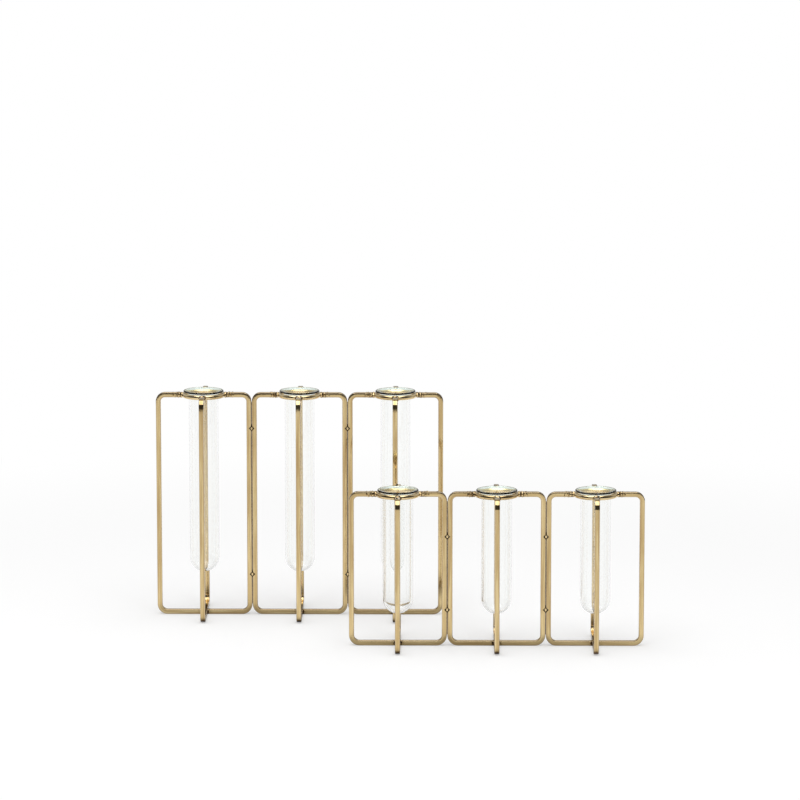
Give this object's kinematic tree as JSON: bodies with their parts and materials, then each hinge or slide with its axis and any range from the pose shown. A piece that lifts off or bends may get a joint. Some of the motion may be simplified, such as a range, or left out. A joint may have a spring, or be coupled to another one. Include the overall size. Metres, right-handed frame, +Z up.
{
  "type": "test tube vase",
  "caption": "Hinged test tube vases in a tall and a short row: open cells of bent brass bar, each with a wire ring that holds a lift-out glass tube.",
  "frame": {"origin": "on the table top, midway between the tall vase and the short vase: the bottom centre of the set's bounding box", "axes": "+X along the rows of cells, to the right seen from the front; +Y from front to back; +Z up"},
  "size_m": [0.3926, 0.1926, 0.1858],
  "materials": {
    "brass_bar": "satin",
    "brass_wire": "polished",
    "hinge_brass": "satin",
    "clear_glass": "clear"
  },
  "bodies": {
    "tall_left_frame": {"tall_left_side_loop": "brass_bar", "tall_left_front_arm": "brass_bar", "tall_left_back_arm": "brass_bar", "tall_left_collar": "brass_wire", "tall_left_hinge_upper_knuckles": "hinge_brass"},
    "tall_left_glass": {"tall_left_tube": "clear_glass"},
    "tall_middle_frame": {"tall_middle_side_loop": "brass_bar", "tall_middle_front_arm": "brass_bar", "tall_middle_back_arm": "brass_bar", "tall_middle_collar": "brass_wire", "tall_left_hinge_lower_knuckles": "hinge_brass", "tall_left_hinge_pins": "hinge_brass", "tall_right_hinge_lower_knuckles": "hinge_brass", "tall_right_hinge_pins": "hinge_brass"},
    "tall_middle_glass": {"tall_middle_tube": "clear_glass"},
    "tall_right_frame": {"tall_right_side_loop": "brass_bar", "tall_right_front_arm": "brass_bar", "tall_right_back_arm": "brass_bar", "tall_right_collar": "brass_wire", "tall_right_hinge_upper_knuckles": "hinge_brass"},
    "tall_right_glass": {"tall_right_tube": "clear_glass"},
    "short_left_frame": {"short_left_side_loop": "brass_bar", "short_left_front_arm": "brass_bar", "short_left_back_arm": "brass_bar", "short_left_collar": "brass_wire", "short_left_hinge_upper_knuckles": "hinge_brass"},
    "short_left_glass": {"short_left_tube": "clear_glass"},
    "short_middle_frame": {"short_middle_side_loop": "brass_bar", "short_middle_front_arm": "brass_bar", "short_middle_back_arm": "brass_bar", "short_middle_collar": "brass_wire", "short_left_hinge_lower_knuckles": "hinge_brass", "short_left_hinge_pins": "hinge_brass", "short_right_hinge_lower_knuckles": "hinge_brass", "short_right_hinge_pins": "hinge_brass"},
    "short_middle_glass": {"short_middle_tube": "clear_glass"},
    "short_right_frame": {"short_right_side_loop": "brass_bar", "short_right_front_arm": "brass_bar", "short_right_back_arm": "brass_bar", "short_right_collar": "brass_wire", "short_right_hinge_upper_knuckles": "hinge_brass"},
    "short_right_glass": {"short_right_tube": "clear_glass"}
  },
  "joints": [
    {"name": "tall_left_hinge", "type": "hinge", "parent": "tall_middle_frame", "child": "tall_left_frame", "pos_m": [-0.1185, 0.0575, 0.0335], "axis": [0, 0, 1], "range_deg": [-25, 25]},
    {"name": "tall_right_hinge", "type": "hinge", "parent": "tall_middle_frame", "child": "tall_right_frame", "pos_m": [-0.0405, 0.0575, 0.0335], "axis": [0, 0, 1], "range_deg": [-25, 25]},
    {"name": "tall_left_tube_lift", "type": "slide", "parent": "tall_left_frame", "child": "tall_left_glass", "axis": [0, 0, 1], "range_m": [0, 0.16]},
    {"name": "tall_middle_tube_lift", "type": "slide", "parent": "tall_middle_frame", "child": "tall_middle_glass", "axis": [0, 0, 1], "range_m": [0, 0.16]},
    {"name": "tall_right_tube_lift", "type": "slide", "parent": "tall_right_frame", "child": "tall_right_glass", "axis": [0, 0, 1], "range_m": [0, 0.16]},
    {"name": "short_left_hinge", "type": "hinge", "parent": "short_middle_frame", "child": "short_left_frame", "pos_m": [0.0405, -0.0575, 0.029], "axis": [0, 0, 1], "range_deg": [-25, 25]},
    {"name": "short_right_hinge", "type": "hinge", "parent": "short_middle_frame", "child": "short_right_frame", "pos_m": [0.1185, -0.0575, 0.029], "axis": [0, 0, 1], "range_deg": [-25, 25]},
    {"name": "short_left_tube_lift", "type": "slide", "parent": "short_left_frame", "child": "short_left_glass", "axis": [0, 0, 1], "range_m": [0, 0.11]},
    {"name": "short_middle_tube_lift", "type": "slide", "parent": "short_middle_frame", "child": "short_middle_glass", "axis": [0, 0, 1], "range_m": [0, 0.11]},
    {"name": "short_right_tube_lift", "type": "slide", "parent": "short_right_frame", "child": "short_right_glass", "axis": [0, 0, 1], "range_m": [0, 0.11]},
    {"name": "short_vase_slide", "type": "slide", "parent": "tall_middle_frame", "child": "short_middle_frame", "axis": [0, -1, 0], "range_m": [0, 0.1]}
  ]
}
